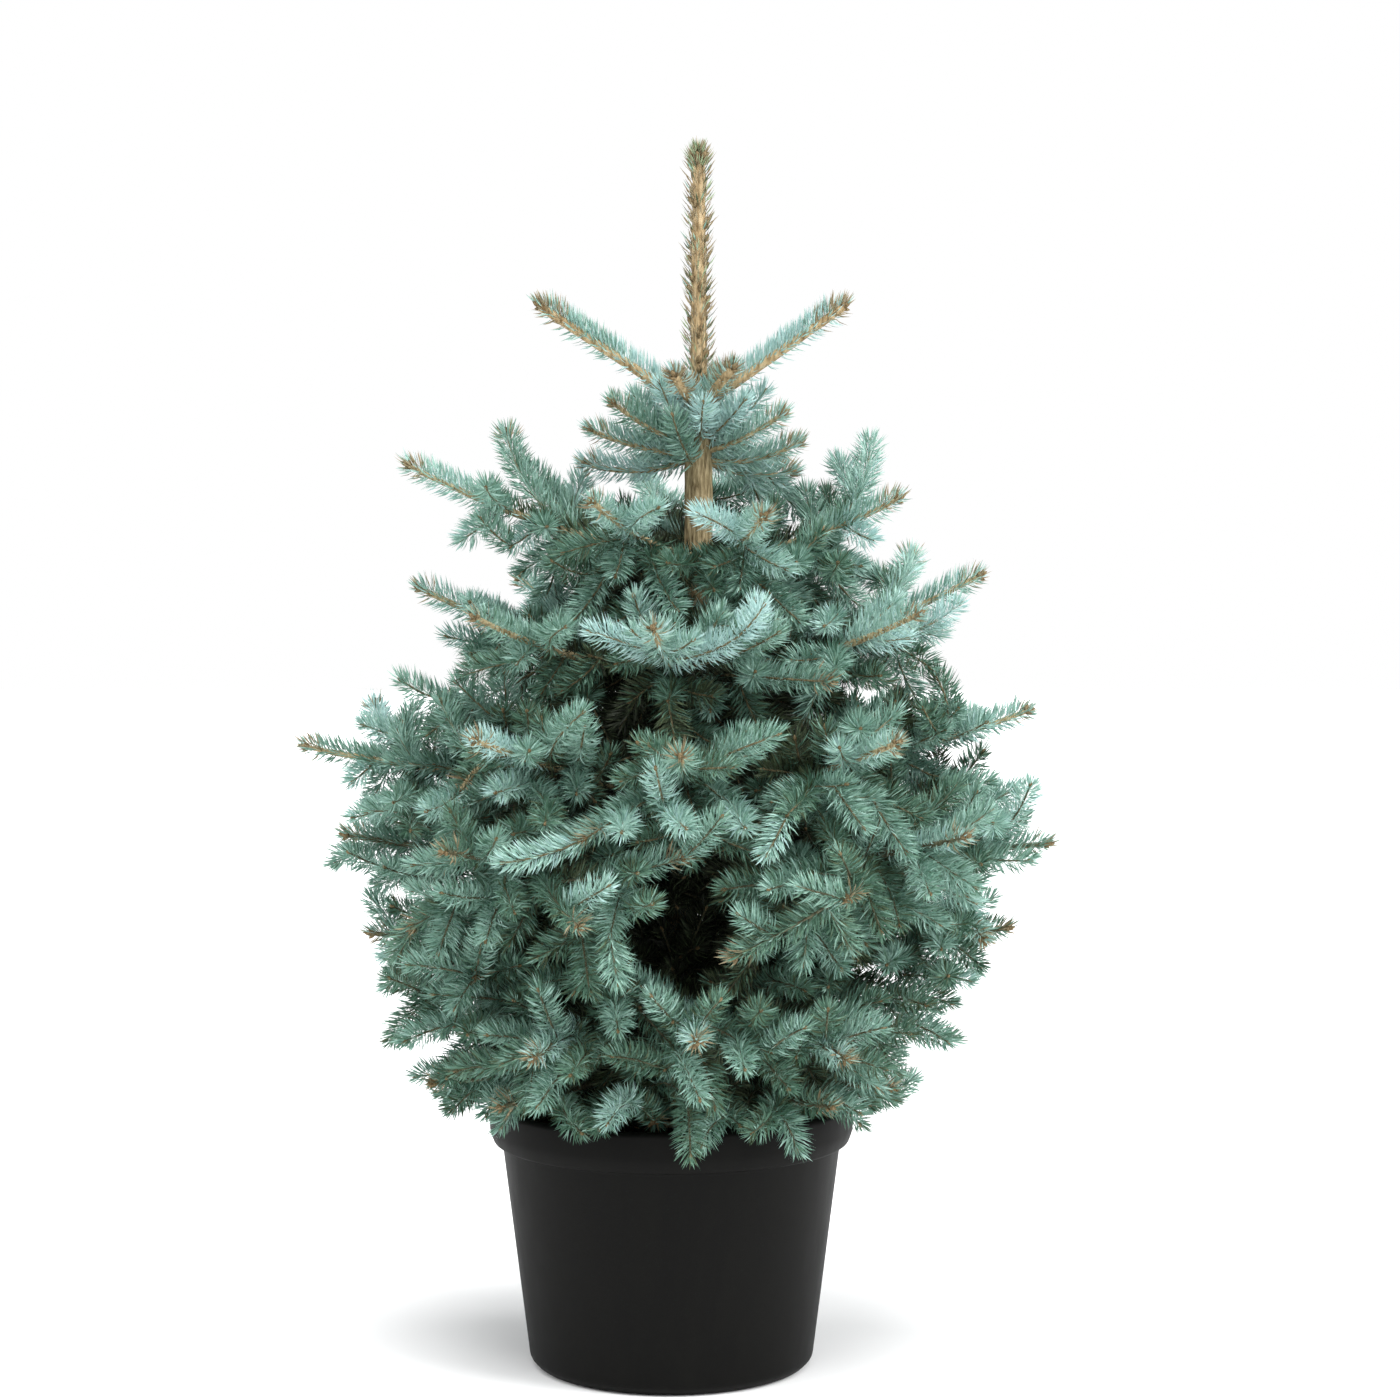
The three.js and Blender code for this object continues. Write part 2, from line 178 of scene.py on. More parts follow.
def mesh_of(name):
    """A CAD node's points and triangles, with the points that share a place merged."""
    data = frame["nodes"][name].data
    flat = np.empty(3 * len(data.vertices), np.float32)
    data.vertices.foreach_get("co", flat)
    places, index = np.unique(np.round(flat.reshape(-1, 3).astype(float), 6), axis=0, return_inverse=True)
    data.calc_loop_triangles()
    triangles = np.empty(3 * len(data.loop_triangles), np.int32)
    data.loop_triangles.foreach_get("vertices", triangles)
    return places, index.reshape(-1)[triangles].reshape(-1, 3)


def trunk_line():
    """The trunk's centres and radii, from the rings of its CAD mesh, from the foot up."""
    points, _ = mesh_of("trunk")
    points = points[np.argsort(points[:, 2])]
    rings = np.split(points, np.nonzero(np.diff(points[:, 2]) > 0.004)[0] + 1)
    centres = np.array([ring.mean(0) for ring in rings])
    radii = np.array([np.linalg.norm(ring[:, :2] - ring[:, :2].mean(0), axis=1).mean() for ring in rings])
    return centres, radii


TRUNK_CENTRES, TRUNK_RADII = trunk_line()


def trunk_at(z):
    x = np.interp(z, TRUNK_CENTRES[:, 2], TRUNK_CENTRES[:, 0])
    y = np.interp(z, TRUNK_CENTRES[:, 2], TRUNK_CENTRES[:, 1])
    return np.array([x, y, z])


def outward(point):
    """The level direction from the trunk to a point, and the distance."""
    away = point - trunk_at(point[2])
    away[2] = 0
    return unit(away), np.linalg.norm(away)


MASSES = sorted(name for name in frame["nodes"] if "_foliage" in name)
WHORL_MASSES = [name for name in MASSES if name != "leader_foliage"]


class Envelope:
    """All masses of foliage as one surface, to ask how deep a point lies inside them."""

    def __init__(self, names):
        points, triangles, count = [], [], 0
        for name in names:
            p, t = mesh_of(name)
            points.append(p)
            triangles.append(t + count)
            count += len(p)
        self.tree = BVHTree.FromPolygons(np.vstack(points).tolist(), np.vstack(triangles).tolist())

    def inside(self, point):
        """The first surface over a point that lies inside a mass is seen from behind."""
        ray = Vector((0.031, 0.017, 1)).normalized()  # not quite upright, so that it meets no edge
        _, normal, _, _ = self.tree.ray_cast(Vector(point), ray)
        return normal is not None and normal.dot(ray) > 0

    def depth(self, point):
        distance = self.tree.find_nearest(Vector(point))[3]
        return distance if self.inside(point) else -distance

    def middle(self, point):
        """The height halfway between the surface under a point and the surface over it."""
        reach = 0.09
        below = self.tree.ray_cast(Vector(point) - Vector((0, 0, reach)), Vector((0, 0, 1)), 2 * reach)[0]
        above = self.tree.ray_cast(Vector(point) + Vector((0, 0, reach)), Vector((0, 0, -1)), 2 * reach)[0]
        return (below.z + above.z) / 2 if below and above else point[2]


def tips_of(name):
    """The furthest corner of a mass from the trunk, and then its other sharp outward corners."""
    sharp, spacing, nearest = 0.84, 0.024, 0.04
    points, triangles = mesh_of(name)
    total = np.zeros_like(points)
    count = np.zeros(len(points))
    for k in range(3):
        a, b = triangles[:, k], triangles[:, (k + 1) % 3]
        np.add.at(total, a, rows_unit(points[b] - points[a]))
        np.add.at(count, a, 1)
    mean = total / count[:, None]
    sharpness = np.linalg.norm(mean, axis=1)
    found = []
    for i in np.argsort([-outward(p)[1] for p in points]):
        way, reach = outward(points[i])
        points_out = -mean[i] @ way > 0.4 * sharpness[i]
        apart = all(np.linalg.norm(points[i] - other) > spacing for other in found)
        if not found or (sharpness[i] > sharp and points_out and apart and reach > nearest):
            found.append(points[i])
    return found


def root_of(name):
    """Where a mass's limbs start: at the end of its bough, or on the trunk at its inner end."""
    bough = name.replace("foliage", "bough")
    if bough in frame["nodes"]:
        points, _ = mesh_of(bough)
        far = sorted(points, key=lambda p: outward(p)[1])[-5:]
        return np.mean(far, axis=0)
    points, _ = mesh_of(name)
    near = sorted(points, key=lambda p: outward(p)[1])[:5]
    return trunk_at(np.mean(near, axis=0)[2])


# ---- The branching rule --------------


def bezier(start, bend, end):
    """Points a step apart along a curve that starts towards a bend and ends away from it."""
    count = max(4, int(np.linalg.norm(end - start) / STEP) + 1)
    t = np.linspace(0, 1, count)[:, None]
    return (1 - t) ** 2 * start + 2 * t * (1 - t) * bend + t**2 * end


class Axis:
    """The line of one limb or shoot, from where it leaves its parent to its bud."""

    def __init__(self, points, whorl, order, parent=None):
        self.points = np.asarray(points)
        steps = np.linalg.norm(np.diff(self.points, axis=0), axis=1)
        self.along = np.concatenate([[0], np.cumsum(steps)])
        self.length = self.along[-1]
        self.tangents = rows_unit(np.gradient(self.points, axis=0))
        self.whorl = whorl
        self.order = order
        self.parent = parent
        self.young = min(pick(YOUNG), self.length) if order else pick(LIMB_YOUNG)
        # the share of its needles that is missing under it, and at its sides
        self.thin_under = 0.45 if order == 0 else 0.3
        self.thin_sides = 0.35 if whorl == "top" and order == 0 else 0

    def at(self, s):
        return rows_at(s, self.along, self.points), unit(rows_at(s, self.along, self.tangents))


class Space:
    """The places that stems already take, in a grid of cells."""

    CELL = 0.032  # more than the widest clearance that is asked for

    def __init__(self):
        self.cells = {}
        self.axes = []

    def cell(self, point):
        return tuple(np.floor(point / self.CELL).astype(int))

    def add(self, axis):
        mark = len(self.axes)
        self.axes.append(axis)
        for point in axis.points:
            self.cells.setdefault(self.cell(point), []).append((point[0], point[1], point[2], mark))

    def clearance(self, point, ignored=()):
        best = self.CELL**2
        i, j, k = self.cell(point)
        x, y, z = point
        for a in (i - 1, i, i + 1):
            for b in (j - 1, j, j + 1):
                for c in (k - 1, k, k + 1):
                    for px, py, pz, mark in self.cells.get((a, b, c), ()):
                        gap = (px - x) ** 2 + (py - y) ** 2 + (pz - z) ** 2
                        if gap < best and self.axes[mark] not in ignored:
                            best = gap
        return math.sqrt(best)


def crown_outline():
    """How far the crown reaches from the trunk, for each of a ladder of heights."""
    step, window, least = 0.04, 0.05, 0.06
    corners = np.vstack([mesh_of(name)[0] for name in WHORL_MASSES])
    heights = np.arange(SOIL_TOP, corners[:, 2].max() + step, step)
    reach = np.array([outward(corner)[1] for corner in corners])
    widest = [reach[np.abs(corners[:, 2] - h) < window].max(initial=least) for h in heights]
    return heights, widest


OUTLINE = crown_outline()
envelope = Envelope(WHORL_MASSES)
space = Space()


def from_hollow(point):
    """How far a point is out along the dark hollow's line, and off that line in the hollow's half-sizes."""
    start = trunk_at(HOLLOW_HEIGHT)
    way = towards(HOLLOW_AZIMUTH)
    along = (point - start) @ way
    off = (point - start - along * way) / (HOLLOW_SIZE[0], HOLLOW_SIZE[0], HOLLOW_SIZE[1])
    return along, np.linalg.norm(off)


def in_hollow(point):
    """Whether a point lies in the dark hollow at the front, under the sprays of the wide whorl."""
    along, off = from_hollow(point)
    ragged = HOLLOW_RAGGED * noise.noise(Vector(point) * 24)
    return along > HOLLOW_DEPTH and off + ragged < 1


def behind_hollow(point, reach=0.04):
    """Whether a point lies in the shade round the hollow, up to a reach in front of its back."""
    along, off = from_hollow(point)
    return -0.08 < along < HOLLOW_DEPTH + reach and off < HOLLOW_SHADE


def in_pot(point):
    """Whether a stem at a point would come too near to the pot's wall or to the compost."""
    radius = math.hypot(point[0], point[1])
    band, over_soil, round_rim, over_rim = 0.022, 0.006, 0.007, 0.009
    if radius < POT_RADIUS - band:
        return point[2] < SOIL_TOP + over_soil
    return radius < POT_RADIUS + round_rim and point[2] < POT_TOP + over_rim


def grow(start, way, length, parent, clearance=STEM_CLEARANCE, inside=0.0):
    """A shoot from a point, as long as the masses and its neighbours leave room for, or None.

    inside is how deep in a mass it has to be: less than 0 lets it stand out of the masses by that much.
    """
    lift = WHORLS[parent.whorl][0] + rng.normal(0, 0.08)
    for share in (1, 0.82, 0.66, 0.52):
        reach = length * share
        if reach < SHOOT_MIN:
            return None
        end = start + reach * unit(way + lift * UP)
        points = bezier(start, start + 0.5 * reach * way, end)
        probes = [points[int(at * (len(points) - 1))] for at in (0.55, 0.8, 1)]
        if min(envelope.depth(p) for p in probes) < inside or any(in_pot(p) for p in points[1:]):
            continue
        if any(in_hollow(p) for p in probes):
            continue
        if min(space.clearance(p, (parent,)) for p in probes) < clearance:
            continue
        axis = Axis(points, parent.whorl, min(parent.order + 1, 3), parent)
        space.add(axis)
        return axis
    return None


def side_shoots(axis):
    """Pairs of side shoots along a limb, from its end inwards, every second one with a third shoot."""
    if axis.whorl in YOUNG_WHORLS:
        return
    s = axis.length - pick(TERMINAL)
    inner = 0.05 if axis.order == 0 else 0.024
    turn = 0
    while s > inner:
        point, along = axis.at(s)
        level = unit(np.cross(along, UP) + 1e-6)
        over = np.cross(level, along)
        rolls = [rng.normal(0.15, 0.28), math.pi - rng.normal(0.15, 0.28)]
        if turn % 2 == 0:
            rolls.append(rng.choice([-1, 1]) * math.pi / 2 + rng.normal(0, 0.3))
        for roll in rolls:
            angle = SIDE_ANGLE + rng.normal(0, 0.09)
            across = math.cos(roll) * level + math.sin(roll) * over
            way = math.cos(angle) * along + math.sin(angle) * across
            length = min(0.6 * (axis.length - s) + 0.034, SHOOT_MAX) * pick((0.85, 1.1))
            shoot = grow(point, way, length, axis)
            if shoot and shoot.length > 0.078 and axis.order < 2:
                side_shoots(shoot)
        s -= pick(NODE_SPACING)
        turn += 1


def forked(end, limbs, whorl):
    """A limb that leaves another limb of its mass, at the point where it turns off least, or None."""
    best, fork = 1e9, None
    for limb in limbs:
        for point, tangent in zip(limb.points[2:-3], limb.tangents[2:-3]):
            way = end - point
            far = np.linalg.norm(way)
            aligned = way @ tangent / far
            cost = far * (1.7 - aligned)
            if aligned > 0.5 and far > 0.03 and cost < best:
                best, fork = cost, (point, tangent, limb)
    if fork is None:
        return None
    start, tangent, parent = fork
    far = np.linalg.norm(end - start)
    bend = start + 0.45 * far * unit(tangent + unit(end - start))
    return Axis(bezier(start, bend, end), whorl, 0 if far > 0.12 else 1, parent)


def limb_to(tip, root, limbs, name, own):
    """The limb that reaches one tip of a mass, arched through its middle. In the young whorls each limb
    leaves the trunk by itself."""
    whorl = name.split("_")[0]
    end = tip - NEEDLE_REACH * unit(tip - root)
    if whorl in YOUNG_WHORLS:
        _, reach = outward(end)
        root = trunk_at(max(root[2], end[2] - YOUNG_WHORLS[whorl] * reach))
    else:
        branch = forked(end, limbs, whorl)
        if branch:
            return branch
    middle = (root + end) / 2
    steepness = (end[2] - root[2]) / np.linalg.norm((end - root)[:2])
    arch = (own.middle(middle) - middle[2]) * min(1, max(0, 1 - 1.6 * steepness))
    return Axis(bezier(root, middle + 2 * arch * UP, end), whorl, 0)


def grow_limbs():
    for name in WHORL_MASSES:
        root = root_of(name)
        limbs = []
        own = Envelope([name])
        for tip in tips_of(name):
            limb = limb_to(tip, root, limbs, name, own)
            limbs.append(limb)
            space.add(limb)


def fill(wanted, clearance, inside):
    """Shoots for the wanted places that are far from every stem, each from the stem that suits it best."""
    nodes = np.vstack([axis.points for axis in space.axes])
    tangents = np.vstack([axis.tangents for axis in space.axes])
    owners = np.concatenate([np.full(len(axis.points), i) for i, axis in enumerate(space.axes)])
    for spot in wanted:
        if space.clearance(spot) < clearance:
            continue
        way = spot - nodes
        far = np.linalg.norm(way, axis=1)
        aligned = np.einsum("ij,ij->i", way, tangents) / (far + 1e-9)
        suits = (far > FILL_REACH[0]) & (far < FILL_REACH[1]) & (aligned > 0.3)
        cost = np.where(suits, far * (1.9 - aligned), math.inf)
        best = int(np.argmin(cost))
        if suits[best]:
            parent = space.axes[owners[best]]
            length = far[best] + pick((0.008, 0.022))
            aim = unit(unit(way[best]) - WHORLS[parent.whorl][0] * UP)
            grow(nodes[best], aim, length, parent, 0.8 * clearance, inside)


def crown_spots():
    """Places all through the crown, in random order, and their distances from the trunk."""
    pitch, jitter = 0.016, 0.006
    low, high = np.array(cad_box[0]), np.array(cad_box[1])
    low[2] = SOIL_TOP
    ladders = [np.arange(a, b, pitch) for a, b in zip(low, high)]
    spots = np.stack(np.meshgrid(*ladders), -1).reshape(-1, 3)
    spots += rng.uniform(-jitter, jitter, spots.shape)
    rng.shuffle(spots)
    return spots, np.array([outward(p)[1] for p in spots])


def fill_crown():
    """Fills the masses, then the heart of the crown, where old shoots reach in between the masses, with the
    pot's edge and the back of the hollow, and at last the notches between the low whorls."""
    spots, reach = crown_spots()
    height = spots[:, 2]
    off_trunk = reach > 0.03
    masses = [p for p in spots[off_trunk] if envelope.depth(p) > 0.004]
    fill(masses, FILL_CLEARANCE, 0.0)
    fill(masses, FILL_CLEARANCE, 0.0)
    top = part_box("shoulder_foliage_1")[1].z
    heart = spots[off_trunk & (reach < HEART) & (height < top) & (height > SOIL_TOP + 0.03)]
    over_soil = (height > SOIL_TOP + 0.01) & (height < SOIL_TOP + 0.1)
    foot = spots[(reach > 0.05) & (reach < POT_RADIUS + 0.005) & over_soil]
    back = [p for p in heart if behind_hollow(p)]
    for _ in range(2):
        fill(heart, HEART_CLEARANCE, -0.04)
        fill(foot, FILL_CLEARANCE, -0.02)
        fill(back, BACK_CLEARANCE, -0.06)
    widest = np.interp(height, *OUTLINE)
    low_whorls = (height > POT_TOP + 0.01) & (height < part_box("wide_foliage_1")[0].z + 0.02)
    notches = spots[low_whorls & (reach > 0.5 * widest) & (reach < 0.9 * widest)]
    fill(notches, NOTCH_CLEARANCE, -0.035)


def rim_sprays():
    """Sprays that hang down to the pot's rim and over it, all round."""
    spots = []
    for k in range(RIM_SPRAYS):
        radius = POT_RADIUS + pick((0.008, 0.024))
        height = POT_TOP + pick((-0.004, 0.022))
        spots.append(radius * towards(k * GOLDEN_ANGLE) + height * UP)
    fill(spots, RIM_CLEARANCE, -0.06)


def collar_shoots():
    """Short shoots straight from the trunk, all round the foot of the leader's whorl."""
    low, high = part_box("collar_foliage_1")
    trunk = Axis([trunk_at(z) for z in np.arange(low.z, high.z, STEP)], "collar", 0)
    for count, first, leaving, rise, lengths, clearance, inside in COLLAR_ROWS:
        for k in range(count):
            start, _ = trunk.at(pick(leaving) * trunk.length)
            way = unit(towards(k * GOLDEN_ANGLE + first, rise))
            grow(start, way, pick(lengths), trunk, clearance, inside)


grow_limbs()
collar_shoots()
for limb in list(space.axes):
    side_shoots(limb)
fill_crown()
rim_sprays()

# ---- Joined meshes -------------------


def make_piece(name, points, faces, materials, slots=None, smooth=False):
    """A mesh object from arrays. faces is an array of triangles, or of quads."""
    mesh = bpy.data.meshes.new(name)
    points = np.asarray(points, np.float32)
    faces = np.asarray(faces, np.int32)
    corners = faces.shape[1]
    mesh.vertices.add(len(points))
    mesh.vertices.foreach_set("co", points.ravel())
    mesh.loops.add(faces.size)
    mesh.loops.foreach_set("vertex_index", faces.ravel())
    mesh.polygons.add(len(faces))
    mesh.polygons.foreach_set("loop_start", np.arange(0, faces.size, corners, dtype=np.int32))
    for material in materials:
        mesh.materials.append(material)
    if slots is not None:
        mesh.polygons.foreach_set("material_index", np.asarray(slots, np.int32))
    mesh.polygons.foreach_set("use_smooth", np.full(len(faces), smooth))
    mesh.update()
    piece = bpy.data.objects.new(name, mesh)
    bpy.context.scene.collection.objects.link(piece)
    return piece


def place(piece, slot, *nodes):
    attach(piece, "root")
    if nodes:
        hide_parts(*nodes)
    return piece


class Pile:
    """Many small meshes that become one piece."""

    def __init__(self):
        self.points, self.faces, self.slots, self.count = [], [], [], 0

    def add(self, points, faces, slot=0):
        self.points.append(points)
        self.faces.append(faces + self.count)
        self.slots.append(np.full(len(faces), slot))
        self.count += len(points)

    def piece(self, name, materials, smooth=False):
        slots = np.concatenate(self.slots)
        return make_piece(name, np.vstack(self.points), np.vstack(self.faces), materials, slots, smooth)


def frames_along(points):
    """The tangents of a line and two directions across each: one as far up as can be, one level."""
    tangents = rows_unit(np.gradient(points, axis=0))
    up = UP - tangents * tangents[:, 2:3]
    steep = np.linalg.norm(up, axis=1) < 0.15
    up[steep] = np.array([0.0, 1.0, 0.0]) - tangents[steep] * tangents[steep, 1:2]
    up = rows_unit(up)
    return tangents, up, np.cross(tangents, up)


def ring_quads(rings, sides):
    """The quads that join a row of rings of points."""
    i, k = np.meshgrid(np.arange(rings - 1), np.arange(sides), indexing="ij")
    a, b = i * sides + k, i * sides + (k + 1) % sides
    return np.stack([a, b, b + sides, a + sides], -1).reshape(-1, 4)


def tube(points, radii, sides, relief=None):
    """Points and quads of a tube along a line, open at both ends. relief changes its radii."""
    _, up, side = frames_along(points)
    angles = np.arange(sides) * 2 * math.pi / sides
    ring = up[:, None] * np.cos(angles)[None, :, None] + side[:, None] * np.sin(angles)[None, :, None]
    radii = np.repeat(np.asarray(radii)[:, None], sides, 1)
    if relief is not None:
        radii = radii + relief(points, radii, angles)
    body = (points[:, None] + ring * radii[..., None]).reshape(-1, 3)
    return body, ring_quads(len(points), sides)


# ---- Materials -----------------------


def linear(r, g, b):
    """A colour given as 0 to 255 on screen, as linear numbers."""
    values = []
    for value in (r, g, b):
        v = value / 255
        values.append(v / 12.92 if v <= 0.04045 else ((v + 0.055) / 1.055) ** 2.4)
    return (*values, 1)


class Nodes:
    """A material and short ways to add nodes to it."""

    def __init__(self, name, roughness, **plain):
        self.material = bpy.data.materials.new(name)
        self.material.use_nodes = True
        self.tree = self.material.node_tree
        self.shader = self.tree.nodes["Principled BSDF"]
        self.shader.inputs["Roughness"].default_value = roughness
        for key, value in plain.items():
            self.shader.inputs[key.replace("_", " ")].default_value = value
        self.coordinates = self.add("ShaderNodeTexCoord").outputs["Object"]

    def add(self, kind):
        return self.tree.nodes.new(kind)

    def link(self, source, target):
        self.tree.links.new(source, target)

    def noise(self, scale, detail, stretch=(1, 1, 1)):
        mapping = self.add("ShaderNodeMapping")
        mapping.inputs["Scale"].default_value = stretch
        self.link(self.coordinates, mapping.inputs["Vector"])
        texture = self.add("ShaderNodeTexNoise")
        texture.inputs["Scale"].default_value = scale
        texture.inputs["Detail"].default_value = detail
        texture.inputs["Roughness"].default_value = 0.55
        self.link(mapping.outputs["Vector"], texture.inputs["Vector"])
        return texture.outputs["Fac"]

    def ramp(self, fac, *stops):
        ramp = self.add("ShaderNodeValToRGB")
        elements = ramp.color_ramp.elements
        while len(elements) < len(stops):
            elements.new(0.5)
        for element, (position, colour) in zip(elements, stops):
            element.position = position
            element.color = colour
        self.link(fac, ramp.inputs["Fac"])
        return ramp.outputs["Color"]

    def colour(self, source):
        self.link(source, self.shader.inputs["Base Color"])

    def roughness(self, fac, low, high):
        """Drives the roughness from low to high."""
        span = self.add("ShaderNodeMapRange")
        span.inputs["To Min"].default_value = low
        span.inputs["To Max"].default_value = high
        self.link(fac, span.inputs["Value"])
        self.link(span.outputs["Result"], self.shader.inputs["Roughness"])

    def bump(self, height, distance, strength=1.0):
        bump = self.add("ShaderNodeBump")
        bump.inputs["Distance"].default_value = distance
        bump.inputs["Strength"].default_value = strength
        self.link(height, bump.inputs["Height"])
        self.link(bump.outputs["Normal"], self.shader.inputs["Normal"])


def needle_material(name, colour, shade):
    """Waxy needles: a fine mottling between a colour and its shade."""
    nodes = Nodes(name, 0.55, Specular_IOR_Level=0.35)
    fleck = nodes.noise(240, 2)
    nodes.colour(nodes.ramp(fleck, (0.36, linear(*shade)), (0.62, linear(*colour))))
    nodes.roughness(fleck, 0.46, 0.64)
    return nodes.material


def bark_material(name, dark, mid, light, grain):
    """Bark with dark cracks and paler scales, drawn out along the stem."""
    nodes = Nodes(name, 0.85, Specular_IOR_Level=0.2)
    scales = nodes.noise(grain, 5, (1, 1, 0.18))
    stops = [(0.34, linear(*dark)), (0.5, linear(*mid)), (0.68, linear(*light))]
    nodes.colour(nodes.ramp(scales, *stops))
    nodes.bump(scales, 0.0012)
    nodes.roughness(scales, 0.95, 0.72)
    return nodes.material


def pot_material():
    """Matt black moulded plastic: a fine grain, faint upright scuffs and a trace of dust."""
    nodes = Nodes("pot_black_plastic", 0.55, Specular_IOR_Level=0.1)
    scuffs = nodes.noise(60, 4, (1, 1, 0.25))
    nodes.colour(nodes.ramp(scuffs, (0.3, linear(3, 3, 2)), (0.72, linear(8, 8, 6))))
    grain = nodes.noise(900, 2)
    nodes.bump(grain, 0.0002, 0.5)
    nodes.roughness(scuffs, 0.48, 0.66)
    return nodes.material


def compost_material(name, dark, light):
    nodes = Nodes(name, 0.95, Specular_IOR_Level=0.15)
    crumbs = nodes.noise(160, 5)
    nodes.colour(nodes.ramp(crumbs, (0.35, linear(*dark)), (0.66, linear(*light))))
    nodes.bump(crumbs, 0.001)
    return nodes.material


NEEDLE_TONES = {
    # name: (colour, its shade), as 0 to 255 on screen. Down to frost, each is a step lighter than the last
    # dull, and olive where it lies inside the crown, are also painted shade: the crown's inside darkened in
    # colour
    "dull": ((46, 54, 36), (28, 33, 21)),
    "olive": ((82, 95, 68), (58, 70, 48)),
    "green": ((100, 136, 115), (73, 107, 89)),
    "teal": ((139, 173, 157), (105, 144, 130)),
    "blue": ((166, 199, 187), (132, 169, 158)),
    "frost": ((186, 216, 212), (152, 187, 184)),
    "tip": ((158, 174, 138), (124, 146, 112)),  # yellower, on the leader
    "straw": ((160, 148, 118), (124, 108, 82)),  # dry, at the ends of the longest shoots
}
TONES = list(NEEDLE_TONES)
needle_materials = [needle_material(f"needles_{tone}", *pair) for tone, pair in NEEDLE_TONES.items()]
trunk_bark = bark_material("bark_trunk", (84, 72, 50), (134, 119, 88), (176, 160, 126), 420)
twig_bark = bark_material("bark_twig", (70, 64, 46), (112, 102, 76), (144, 132, 102), 420)
limb_bark = bark_material("bark_limb", (104, 90, 62), (158, 142, 108), (190, 176, 142), 420)
shade_bark = bark_material("bark_shade", (62, 60, 46), (92, 90, 70), (116, 112, 90), 420)
leader_bark = bark_material("bark_leader", (118, 98, 68), (170, 147, 110), (202, 181, 145), 360)
bud_scales = bark_material("bud_scales", (82, 68, 46), (124, 106, 76), (160, 142, 110), 900)

# ---- Needles -------------------------

OPEN_HEIGHTS = [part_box(name)[1].z for name in ("hem_foliage_1", "wide_foliage_1", "upper_foliage_1")]
OPENNESS = (-0.14, 0, 0.35)  # more light gets in, going up
# The tables darken the sprays towards the trunk: painted shade of the crown's inside, as well as older
# needles' duller colour
# in each table: up to this share of the crown's reach, the tones of a spray and their odds
SPRAY_TONES = [
    (0.36, {"dull": 0.7, "olive": 0.3}),
    (0.54, {"green": 0.5, "olive": 0.4, "teal": 0.1}),
    (0.74, {"teal": 0.5, "green": 0.35, "blue": 0.15}),
    (9, {"blue": 0.6, "teal": 0.3, "frost": 0.1}),
]
OLD_TONES = [
    (0.5, {"dull": 0.85, "olive": 0.15}),
    (0.68, {"olive": 0.5, "green": 0.5}),
    (9, {"green": 0.6, "teal": 0.4}),
]
# for the shaded whorls: darker, greener tones, as painted shade
LOW_TONES = [
    (0.36, {"dull": 0.8, "olive": 0.2}),
    (0.6, {"green": 0.5, "olive": 0.5}),
    (0.78, {"teal": 0.4, "green": 0.6}),
    (9, {"teal": 0.55, "green": 0.1, "blue": 0.35}),
]
TOP_TONES = [(9, {"teal": 0.1, "blue": 0.5, "frost": 0.4})]


def tone_for(axis, spot, old):
    """The tone of one spray: bluest outside, green further in, and darkest round the trunk. The darkening
    inwards is painted shade of the crown's inside, as well as the older needles' duller colour; the paler
    tones higher up, where more light gets in, are painted light.
    """
    # painted shade round the hollow: darkest behind it, olive at its fringe
    if behind_hollow(spot, HOLLOW_FRINGE):
        return TONES.index("dull" if behind_hollow(spot) else "olive")
    share = outward(spot)[1] / np.interp(spot[2], *OUTLINE)
    # paler higher up and darker at the hem, by how much light gets in: painted light and shade
    share += np.interp(spot[2], OPEN_HEIGHTS, OPENNESS)
    table = OLD_TONES if old else SPRAY_TONES
    if axis.whorl in ("top", "collar"):
        table = TOP_TONES
    if axis.whorl in SHADED_WHORLS and not old:
        table = LOW_TONES
    odds = next(odds for limit, odds in table if share < limit)
    return TONES.index(rng.choice(list(odds), p=list(odds.values())))


def clear_of_pot(base, middle, end):
    """Which needles don't run into the wall of the pot or through it."""
    low = np.minimum(base[:, 2], end[:, 2]) < POT_TOP + 0.001
    radii = np.stack([np.hypot(p[:, 0], p[:, 1]) for p in (base, middle, end)])
    wall = (radii > POT_RADIUS - 0.009) & (radii < POT_RADIUS + 0.001)
    through = (radii.min(0) < POT_RADIUS - 0.009) & (radii.max(0) > POT_RADIUS - 0.009)
    return ~(low & (wall.any(0) | through))


